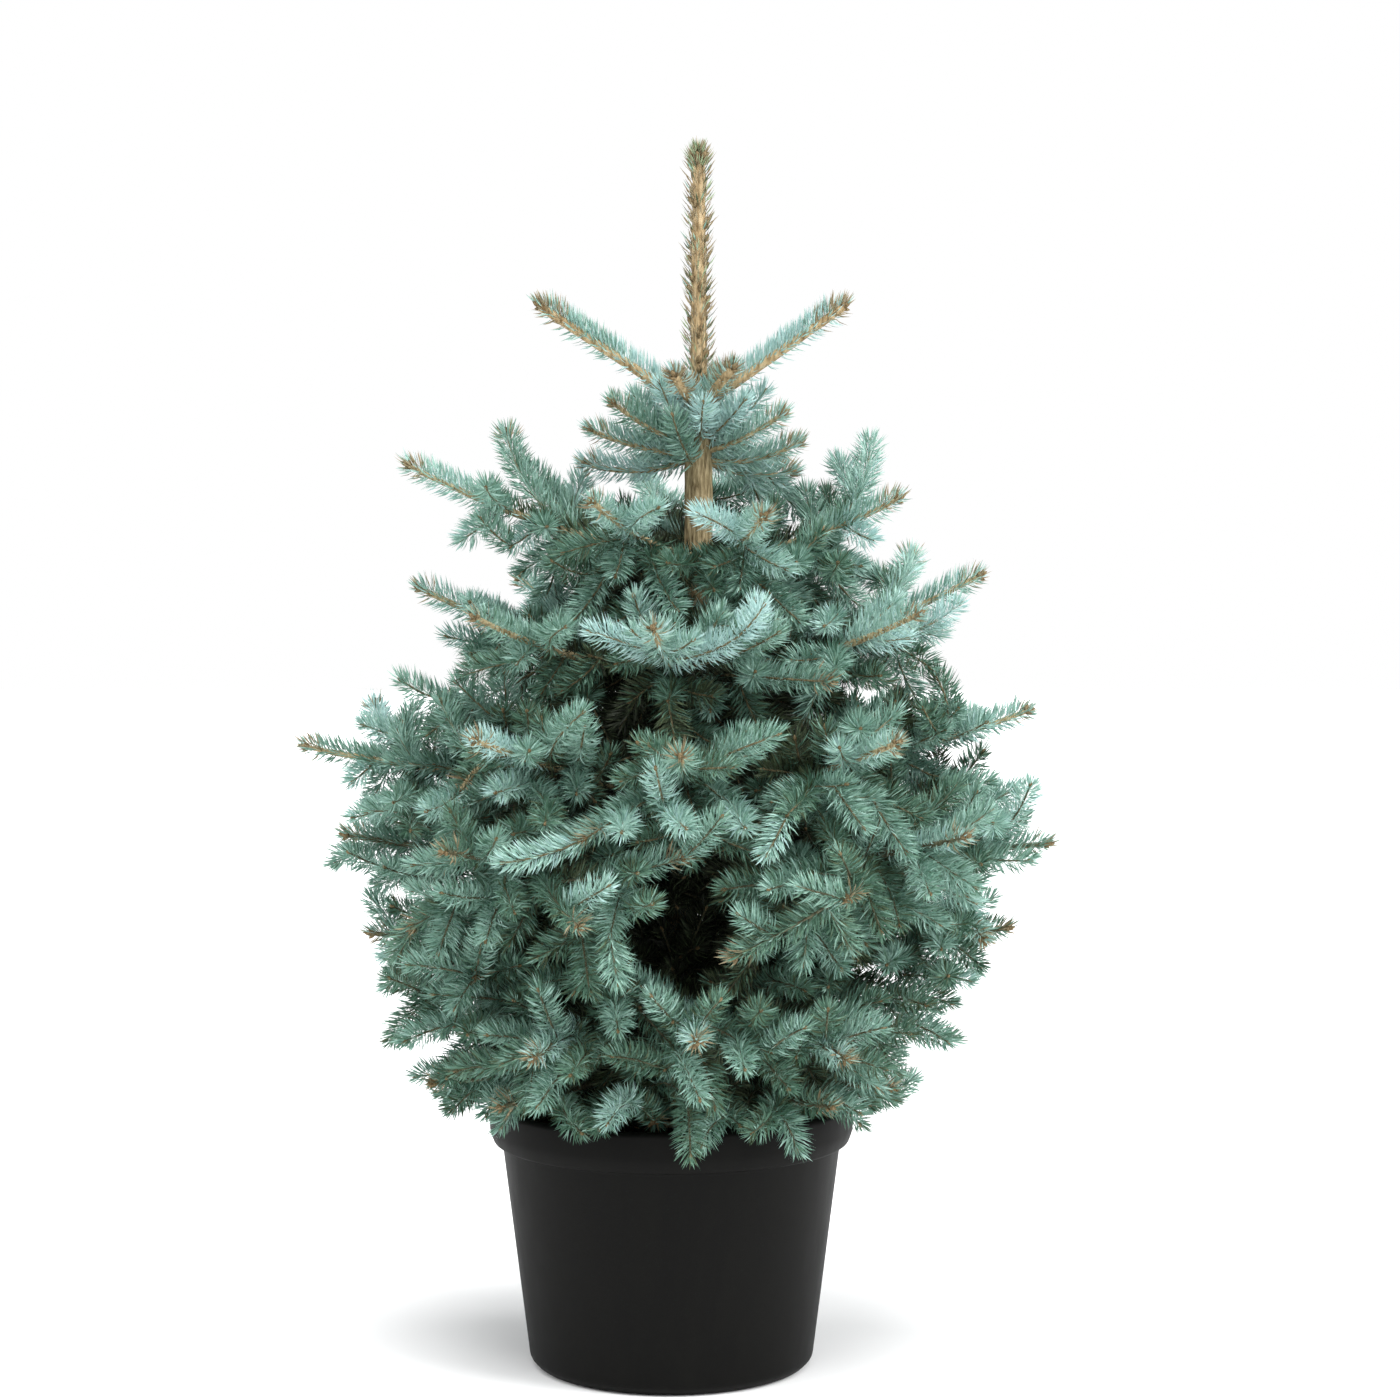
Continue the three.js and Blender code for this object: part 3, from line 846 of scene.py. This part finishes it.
def needles_on(axis, s, tone, scale=1.0, open_angle=NEEDLE_OPEN, sweep=SWEEP):
    """The needles at the distances s along an axis: base, middle and end points, tones and distances."""
    count = len(s)
    tangents, up, _ = frames_along(axis.points)
    base = rows_at(s, axis.along, axis.points)
    ahead = rows_unit(rows_at(s, axis.along, tangents))
    over = rows_unit(rows_at(s, axis.along, up))
    aside = np.cross(ahead, over)
    turn = rng.uniform(0, 2 * math.pi) + np.arange(count) * GOLDEN_ANGLE + rng.normal(0, 0.2, count)
    around = np.cos(turn)[:, None] * over + np.sin(turn)[:, None] * aside
    swept = rows_unit(around + sweep * over)
    under = np.clip(-np.cos(turn), 0, 1)
    near_tip = np.clip(1 - (axis.length - s) / CLOSING, 0, 1)
    closing = 1 - 0.8 * near_tip * rng.uniform(0.35, 1, count)
    angle = np.radians(open_angle) * closing + rng.normal(0, 0.09, count)
    way = np.cos(angle)[:, None] * ahead + np.sin(angle)[:, None] * swept
    shorter = (1 - 0.25 * near_tip) * (1 - 0.2 * under)
    length = NEEDLE_LENGTH * scale * shorter * rng.uniform(0.82, 1.08, count)
    curl = rows_unit(0.8 * ahead + 0.45 * UP + 0.2 * rng.normal(0, 1, (count, 3)))
    middle = base + way * (0.55 * length)[:, None]
    end = middle + rows_unit(way + 0.28 * curl) * (0.45 * length)[:, None]
    thinned = axis.thin_under * under + axis.thin_sides * np.abs(np.sin(turn)) ** 3
    kept = (rng.random(count) > thinned) & clear_of_pot(base, middle, end)
    return base[kept], middle[kept], end[kept], np.full(count, tone)[kept], s[kept]


def blades(base, middle, end):
    """Each needle as a slender kite with a bend in its middle, turned at random about its own line."""
    count = len(base)
    across = rows_unit(np.cross(middle - base, rng.normal(0, 1, (count, 3))))
    half = (0.5 * NEEDLE_WIDTH * rng.uniform(0.8, 1.2, count))[:, None]
    points = np.stack([base, middle + half * across, middle - half * across, end], 1).reshape(-1, 3)
    first = 4 * np.arange(count)[:, None, None]
    faces = (first + np.array([[0, 1, 2], [2, 1, 3]])[None]).reshape(-1, 3)
    return points, faces


def clad_weight(axis):
    """How densely each point of an axis is clad with needles, against a new shoot's."""
    bare = WHORLS[axis.whorl][1]
    reach = np.array([outward(p)[1] for p in axis.points])
    share = np.clip((reach - bare) / 0.012, 0, 1)
    weight = np.where(axis.along < axis.length - axis.young, OLD_DENSITY, 1.0) * share
    return weight * LUSH.get(axis.whorl, 1)


def clothe():
    """All needles, by whorl. The shoots share the whole number of needles by their clad length."""
    jobs = [(axis, clad_weight(axis)) for axis in space.axes]
    total = sum(np.trapz(weight, axis.along) for axis, weight in jobs)
    density = NEEDLES / total
    by_whorl = {}
    for axis, weight in jobs:
        pieces = 0.5 * (weight[1:] + weight[:-1]) * np.diff(axis.along)
        amount = np.concatenate([[0], np.cumsum(pieces)])
        count = int(density * amount[-1])
        if count < 4:
            continue
        levels = (np.arange(count) + rng.uniform(0, 1, count)) / count * amount[-1]
        s = np.interp(levels, amount + 1e-12 * np.arange(len(amount)), axis.along)
        young_tone = tone_for(axis, axis.points[-1], False)
        old_tone = tone_for(axis, axis.points[len(axis.points) // 3], True)
        sweep = TOP_SWEEP if axis.thin_sides else SWEEP
        base, middle, end, tone, s = needles_on(axis, s, young_tone, sweep=sweep)
        old = s < axis.length - axis.young + rng.normal(0, 0.006, len(s))
        tone[old] = old_tone
        mixed = tone + rng.choice([-1, 0, 1], len(s), p=[0.2, 0.62, 0.18])
        tone = np.clip(mixed, 0, TONES.index("frost"))
        if axis.order == 0:
            reach, odds = (0.03, 0.6) if axis.whorl == "top" else (0.018, 0.35)
            dry = (axis.length - s < reach) & (rng.random(len(s)) < odds)
            tone[dry] = TONES.index("straw")
        by_whorl.setdefault(axis.whorl, []).append((base, middle, end, tone))
    return by_whorl


def build_needles():
    """A piece for the needles of each whorl, or two where there are too many for one."""
    for whorl, sprays in clothe().items():
        base, middle, end, tone = (np.concatenate([spray[k] for spray in sprays]) for k in range(4))
        parts = math.ceil(2 * len(base) / PIECE_TRIANGLES)
        bounds = np.linspace(0, len(base), parts + 1).astype(int)
        nodes = [name for name in WHORL_MASSES if name.startswith(whorl + "_")]
        for part, (a, b) in enumerate(zip(bounds[:-1], bounds[1:])):
            name = f"needles_{whorl}" + (f"_{part + 1}" if parts > 1 else "")
            points, faces = blades(base[a:b], middle[a:b], end[a:b])
            piece = make_piece(name, points, faces, needle_materials, np.repeat(tone[a:b], 2))
            place(piece, "needles", *nodes)


# ---- Twigs, boughs and buds ----------


def bark_relief(depth, scale):
    """Ridges drawn out along a stem, as a change of radius."""

    def relief(points, radii, angles):
        out = np.zeros(radii.shape)
        for i, point in enumerate(points):
            for k, angle in enumerate(angles):
                r = radii[i, k] * scale
                along = (0.25 * point[2] + 0.2 * point[0]) * scale
                spot = Vector((r * math.cos(angle), r * math.sin(angle), along))
                out[i, k] = depth * noise.fractal(spot, 0.9, 2.1, 3)
        return out

    return relief


def stem_radius(axis):
    """Radii at the foot and at the tip of a shoot."""
    if axis.whorl == "top" and axis.parent is None:
        return 0.0046, 0.0036
    if axis.parent is None:
        return min(0.0014 + 0.012 * axis.length, 0.0052), 0.0021
    return min(0.0008 + 0.006 * axis.length, 0.0018), 0.0008


def spaced(axis, spacing, least):
    """Evenly spaced points along an axis, and their distances along it."""
    s = np.linspace(0, axis.length, max(least, int(axis.length / spacing)))
    return rows_at(s, axis.along, axis.points), s


def build_stems():
    """Limbs with the bark's relief, and thin twigs for all other shoots."""
    twigs, boughs = Pile(), Pile()
    relief = bark_relief(0.0005, 160)
    for axis in space.axes:
        foot, tip = stem_radius(axis)
        # the stems of the shaded whorls take the darker bark_shade: painted shade
        shaded = int(axis.whorl in SHADED_WHORLS)
        if axis.parent is None:
            points, s = spaced(axis, 0.004, 6)
            radii = tip + (foot - tip) * (1 - s / axis.length) ** 0.8
            boughs.add(*tube(points, radii, 9, relief), 2 if axis.whorl == "top" else shaded)
        else:
            points, s = spaced(axis, 0.012, 4)
            twigs.add(*tube(points, foot + (tip - foot) * s / axis.length, 5), shaded)
    nodes = [name for name in frame["nodes"] if "_bough" in name]
    place(boughs.piece("boughs", [limb_bark, shade_bark, leader_bark], smooth=True), "bark", *nodes)
    place(twigs.piece("twigs", [twig_bark, shade_bark], smooth=True), "bark")


BUD_RINGS = [(0.0, 0.6), (0.3, 1.0), (0.65, 0.8), (1.0, 0.0)]  # (share of length, share of radius)


def bud(point, way, length, radius):
    """A small bud: an egg with a pointed end."""
    heights = np.array([h for h, _ in BUD_RINGS])
    line = point + np.outer(heights * length, way)
    return tube(line, [max(r * radius, 0.00015) for _, r in BUD_RINGS], 5)


def build_buds():
    """A bud on every shoot, with three smaller ones round it on every limb."""
    buds = Pile()
    for axis in space.axes:
        point, way = axis.points[-1], axis.tangents[-1]
        size = 0.0028 if axis.order == 0 else 0.0018
        buds.add(*bud(point - 0.001 * way, way, 3.2 * size, size))
        if axis.order:
            continue
        side = unit(np.cross(way, rng.normal(0, 1, 3)))
        for k in range(3):
            turn = k * 2.1
            across = math.cos(turn) * side + math.sin(turn) * np.cross(way, side)
            lean = unit(way + 0.9 * across)
            buds.add(*bud(point - 0.002 * way + 0.0011 * across, lean, 2.4 * size, 0.7 * size))
    place(buds.piece("buds", [bud_scales], smooth=True), "bark")


# ---- Trunk and leader ----------------

TRUNK_SIDES = 26


def trunk_radius(z):
    return np.interp(z, TRUNK_CENTRES[:, 2], TRUNK_RADII)


def trunk_relief(points, radii, angles):
    """Plates of bark where the trunk is thick, and twisting ridges where it is thin."""
    out = np.zeros(radii.shape)
    for i, point in enumerate(points):
        for k, angle in enumerate(angles):
            around = Vector((math.cos(angle) * 2.2, math.sin(angle) * 2.2, point[2] * 26))
            plates = noise.fractal(around, 0.8, 2.2, 4)
            ridges = math.sin(angle * 7 + 3 * noise.noise(Vector((0, 0, point[2] * 30))))
            share = min(1, radii[i, k] / 0.012)
            out[i, k] = share * 0.0011 * plates + (1 - 0.6 * share) * 0.0005 * ridges
    return out


def build_trunk():
    """The trunk from just under the soil to the leader's bud."""
    z = np.arange(SOIL_TOP - 0.002, TRUNK_CENTRES[-1, 2], 0.0025)
    points = np.stack([trunk_at(h) for h in z])
    body, quads = tube(points, trunk_radius(z), TRUNK_SIDES, trunk_relief)
    slots = (np.repeat(z[:-1], TRUNK_SIDES) > LEADER_FOOT).astype(int)
    piece = make_piece("trunk_bark", body, quads, [trunk_bark, leader_bark], slots, smooth=True)
    place(piece, "bark", "trunk")


def leader_needles(axis, bud_places):
    """Short needles: all along the leader, in clusters round its side buds, flat on it and at its top."""
    evenly = rng.uniform(0, axis.length, 340)
    in_clusters = np.repeat(bud_places, 9) + rng.normal(0, 0.0025, 9 * len(bud_places))
    s = np.sort(np.concatenate([evenly, in_clusters]))
    flat = rng.uniform(0, axis.length, 500)
    open_ones = needles_on(axis, s, 0, 0.8, 44, 0)
    flat_ones = needles_on(axis, flat, 0, 0.6, 16, 0)
    base, middle, end = (np.vstack([open_ones[k], flat_ones[k]]) for k in range(3))
    out = rows_unit((middle - base) * np.array([1, 1, 0]))
    shift = out * (0.8 * trunk_radius(base[:, 2]))[:, None]
    tones = [TONES.index(name) for name in ("tip", "straw", "teal", "olive")]
    tone = rng.choice(tones, len(base), p=[0.16, 0.56, 0.1, 0.18])
    tone[len(open_ones[0]) :] = TONES.index("straw")

    crown_s = axis.length - rng.uniform(0.001, 0.018, 200)
    crown = needles_on(axis, crown_s, TONES.index("tip"), 1.0, 46, 0)
    dry = rng.random(len(crown[3])) < 0.5
    crown[3][dry] = TONES.index("straw")
    base = np.vstack([base + shift, crown[0]])
    middle = np.vstack([middle + shift, crown[1]])
    end = np.vstack([end + shift, crown[2]])
    points, faces = blades(base, middle, end)
    slots = np.repeat(np.concatenate([tone, crown[3]]), 2)
    place(make_piece("needles_leader", points, faces, needle_materials, slots), "needles", "leader_foliage")


def leader_buds(axis, bud_places):
    """The large bud at the top with a ring of six round it, and the side buds."""
    buds = Pile()
    top = axis.points[-1]
    buds.add(*bud(top - 0.004 * UP, UP, 0.011, 0.0036))
    for k in range(6):
        across = towards(k * 2 * math.pi / 6 + 0.3)
        buds.add(*bud(top - 0.006 * UP + 0.0034 * across, unit(UP + 0.8 * across), 0.008, 0.0026))
    for height in bud_places:
        across = towards(rng.uniform(0, 2 * math.pi))
        point, _ = axis.at(height)
        foot = point + 0.85 * trunk_radius(point[2]) * across
        buds.add(*bud(foot, unit(UP + 0.7 * across), 0.0085, 0.0026))
    place(buds.piece("leader_buds", [bud_scales], smooth=True), "bark")


def build_leader():
    """The leader's short needles, its side buds and the cluster at its top."""
    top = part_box("leader_foliage")[1].z - 0.011
    axis = Axis(np.stack([trunk_at(h) for h in np.arange(LEADER_FOOT, top, STEP)]), "leader", 0)
    axis.thin_under = 0
    bud_places = np.linspace(0.012, axis.length - 0.035, 26) + rng.normal(0, 0.002, 26)
    leader_needles(axis, bud_places)
    leader_buds(axis, bud_places)


# ---- Pot and compost -----------------


def rounded(profile, radius, steps=4):
    """The points of a profile of (radius, height), with its corners rounded."""
    points = [np.array(p, float) for p in profile]
    out = [points[0]]
    for before, corner, after in zip(points, points[1:], points[2:]):
        room = min(radius, 0.45 * np.linalg.norm(before - corner), 0.45 * np.linalg.norm(after - corner))
        a = corner + room * unit(before - corner)
        b = corner + room * unit(after - corner)
        for t in np.linspace(0, 1, steps):
            out.append((1 - t) ** 2 * a + 2 * t * (1 - t) * corner + t**2 * b)
    out.append(points[-1])
    return out


def turned(name, profile, sides, materials):
    """A piece turned about the pot's axis from a profile of (radius, height)."""
    angles = np.arange(sides) * 2 * math.pi / sides
    rings = np.array([[(r * math.cos(a), r * math.sin(a), z) for a in angles] for r, z in profile])
    quads = ring_quads(len(profile), sides)
    return make_piece(name, rings.reshape(-1, 3), quads, materials, smooth=True)


BAND_FOOT = (0.19, 0.2)  # heights between which the rim band's lower edge lies


def pot_rings():
    """The CAD pot's rings of points as (radius, height)."""
    points, _ = mesh_of("pot")
    rings = {(round(float(np.hypot(x, y)), 4), round(float(z), 4)) for x, y, z in points}
    return sorted(rings, key=lambda ring: ring[1])


def build_pot():
    """The pot, round, with softened edges. Its profile is the CAD pot's."""
    rings = [ring for ring in pot_rings() if ring[0] > 0.01]
    rim = max(r for r, _ in rings)
    height = max(z for _, z in rings)
    foot = max(r for r, z in rings if z < 0.0005)
    wall_foot = max((r, z) for r, z in rings if 0.0005 < z < 0.012)
    under_band = [ring for ring in rings if BAND_FOOT[0] < ring[1] < BAND_FOOT[1]]
    wall_top = sorted(r for r, _ in under_band)[-2]
    band_foot = under_band[-1][1]
    band_edge = max(r for r, _ in under_band)
    chamfer = min(z for r, z in rings if r > rim - 0.0005)
    wall, lip = 0.0035, 0.003
    outside = [
        (0.0001, 0),
        (foot, 0),
        wall_foot,
        (wall_top, band_foot),
        (band_edge - 0.001, band_foot),
        (rim, chamfer),
        (rim, height - lip),
        (rim - lip, height),
    ]
    inside = [
        (rim - lip - wall, height),
        (rim - lip - wall - 0.002, height - 0.005),
        (wall_top - wall, band_foot),
        (wall_foot[0] - wall, wall_foot[1] + wall),
        (0.0001, wall),
    ]
    profile = rounded(outside + inside, 0.0035)
    place(turned("pot_shell", profile, 160, [pot_material()]), "pot_plastic", "pot")


def compost_dip(r, radius):
    """How far the compost has sunk below its middle, which lies highest."""
    return 0.006 * max(0, (r - 0.06) / (radius - 0.06))


def compost_surface(radius, top):
    """The compost's crumbly top as rings of points round its middle, with a skirt down the pot's wall."""
    sides, rings = 120, 46
    turns = [2 * math.pi * k / sides for k in range(sides)]
    points = [(0, 0, top)]
    for i in range(1, rings + 1):
        r = radius * i / rings
        for a in turns:
            x, y = r * math.cos(a), r * math.sin(a)
            lumps = 0.0022 * noise.fractal(Vector((x * 60, y * 60, 3)), 0.7, 2.2, 4)
            points.append((x, y, top - compost_dip(r, radius) + lumps * (1 if i < rings else 0)))
    points += [(0.93 * radius * math.cos(a), 0.93 * radius * math.sin(a), top - 0.03) for a in turns]
    triangles = [(0, 1 + k, 1 + (k + 1) % sides) for k in range(sides)]
    for i in range(rings):
        for k in range(sides):
            a, b = 1 + i * sides + k, 1 + i * sides + (k + 1) % sides
            triangles += [(a, a + sides, b + sides), (a, b + sides, b)]
    return points, np.array(triangles)


def bark_chips(radius, top):
    """Loose chips that lie on the compost, clear of the trunk."""
    chips = Pile()
    shape = np.array([(1, 0, 0), (-1, 0, 0), (0, 1, 0), (0, -1, 0), (0, 0, 1), (0, 0, -1)], float)
    upper = [(0, 2, 4), (2, 1, 4), (1, 3, 4), (3, 0, 4)]
    lower = [(2, 0, 5), (1, 2, 5), (3, 1, 5), (0, 3, 5)]
    for _ in range(900):
        r, a = (radius - 0.006) * math.sqrt(rng.random()), rng.uniform(0, 2 * math.pi)
        if r < 0.028:
            continue
        size = rng.uniform(0.0012, 0.0046) * np.array([1, rng.uniform(0.4, 0.8), rng.uniform(0.2, 0.45)])
        c, s = math.cos(a * 7), math.sin(a * 7)
        turn = np.array([[c, -s, 0], [s, c, 0], [rng.normal(0, 0.25), rng.normal(0, 0.25), 1]])
        body = (shape * size * rng.uniform(0.75, 1.2, (6, 1))) @ turn.T
        spot = np.array([r * math.cos(a), r * math.sin(a), top - compost_dip(r, radius) + 0.0012])
        chips.add(body + spot, np.array(upper + lower))
    return chips


def build_compost():
    _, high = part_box("soil")
    radius = high.x - 0.0005
    crumbs = compost_material("compost", (26, 19, 13), (74, 56, 40))
    surface = make_piece("compost", *compost_surface(radius, high.z), [crumbs], smooth=True)
    place(surface, "compost", "soil")
    bark = compost_material("bark_chips", (52, 34, 22), (112, 80, 54))
    place(bark_chips(radius, high.z).piece("compost_chips", [bark]), "compost")


# ---- Stage ---------------------------

SKY = 0.42
LAMPS = [
    # name, azimuth (0 shines from the front, towards +Y), elevation, spread of the light, strength
    ("key", 0, 70, 34, 3.0),
    ("left", -75, 36, 40, 1.2),
    ("right", 70, 32, 40, 3.1),
    ("front", 5, 18, 50, 0.45),
]


CAMERA_PLACE = (0.0252, -3.0, 0.793)
CAMERA_DOWN = 3.94  # degrees below the level
CAMERA_LENS = 88.36  # millimetres, on a sensor 36 mm wide


def build_floor():
    """A plain pale floor, a hair below the pot."""
    nodes = Nodes("floor_pale", 0.9, Specular_IOR_Level=0.1)
    nodes.shader.inputs["Base Color"].default_value = (0.93, 0.93, 0.93, 1)
    half = 9
    points = [(-half, -half, 0), (half, -half, 0), (half, half, 0), (-half, half, 0)]
    floor = make_piece("floor", points, [(0, 1, 2, 3)], [nodes.material])
    floor.location.z = -0.0004


def build_world():
    """A soft pale sky, which the camera itself sees as white."""
    world = bpy.data.worlds.new("studio")
    bpy.context.scene.world = world
    world.use_nodes = True
    tree = world.node_tree
    soft = tree.nodes["Background"]
    soft.inputs["Color"].default_value = (0.96, 0.98, 1, 1)
    soft.inputs["Strength"].default_value = SKY
    backdrop = tree.nodes.new("ShaderNodeBackground")
    backdrop.inputs["Color"].default_value = (1, 1, 1, 1)
    seen = tree.nodes.new("ShaderNodeLightPath")
    mix = tree.nodes.new("ShaderNodeMixShader")
    tree.links.new(seen.outputs["Is Camera Ray"], mix.inputs["Fac"])
    tree.links.new(soft.outputs["Background"], mix.inputs[1])
    tree.links.new(backdrop.outputs["Background"], mix.inputs[2])
    tree.links.new(mix.outputs["Shader"], tree.nodes["World Output"].inputs["Surface"])


def build_lamps():
    for name, azimuth, elevation, spread, strength in LAMPS:
        light = bpy.data.lights.new(name, "SUN")
        light.angle = math.radians(spread)
        light.energy = strength
        lamp = bpy.data.objects.new(name, light)
        lamp.rotation_euler = (math.radians(90 - elevation), 0, math.radians(azimuth))
        bpy.context.scene.collection.objects.link(lamp)


def build_camera():
    camera = bpy.data.cameras.new("camera")
    camera.sensor_width = 36
    camera.lens = CAMERA_LENS
    eye = bpy.data.objects.new("camera", camera)
    eye.location = CAMERA_PLACE
    eye.rotation_euler = (math.radians(90 - CAMERA_DOWN), 0, 0)
    bpy.context.scene.collection.objects.link(eye)
    bpy.context.scene.camera = eye
    bpy.context.scene.view_settings.view_transform = "Standard"


build_needles()
build_stems()
build_buds()
build_trunk()
build_leader()
build_pot()
build_compost()
build_floor()
build_world()
build_lamps()
build_camera()
